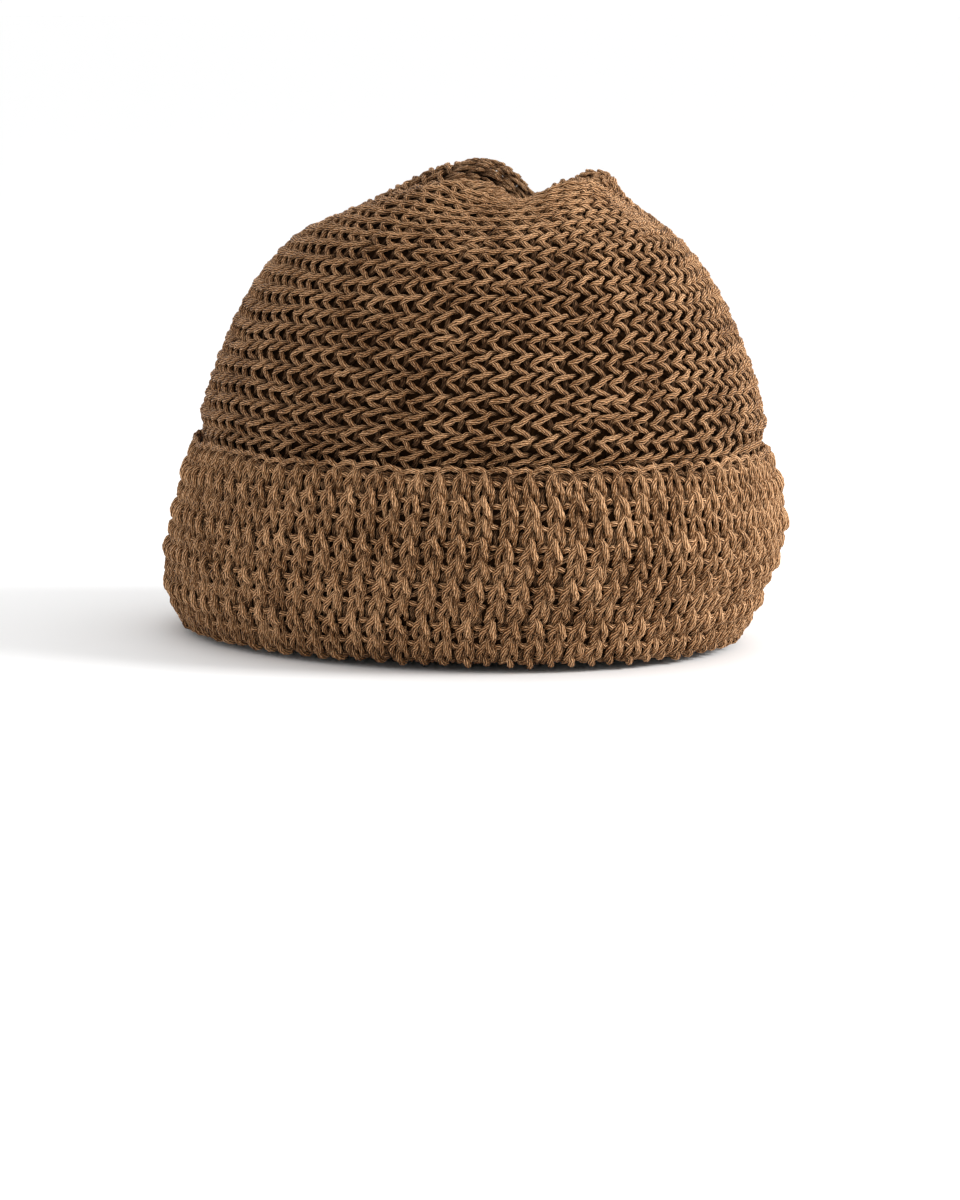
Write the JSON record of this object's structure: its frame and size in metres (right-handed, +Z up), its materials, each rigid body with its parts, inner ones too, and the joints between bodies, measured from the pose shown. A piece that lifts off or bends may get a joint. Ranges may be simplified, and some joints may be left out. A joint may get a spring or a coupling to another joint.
{
  "type": "watch cap",
  "caption": "Close-fitting knit cap with a domed crown drawn together at the top and a deep ribbed cuff turned up round the rim.",
  "frame": {"origin": "on the floor under the folded rim, in the middle of the cap's length and width", "axes": "+Z up through the crown; -Y towards the front of the cap; +X towards the wearer's left"},
  "size_m": [0.1788, 0.2226, 0.155],
  "materials": {
    "crown_knit": "matt brown open knit of plied yarn, slightly shiny strands",
    "cuff_knit": "matt brown ribbed knit of plied yarn, slightly shiny strands"
  },
  "bodies": {
    "root": {"crown": "crown_knit", "cuff": "cuff_knit"}
  },
  "joints": []
}
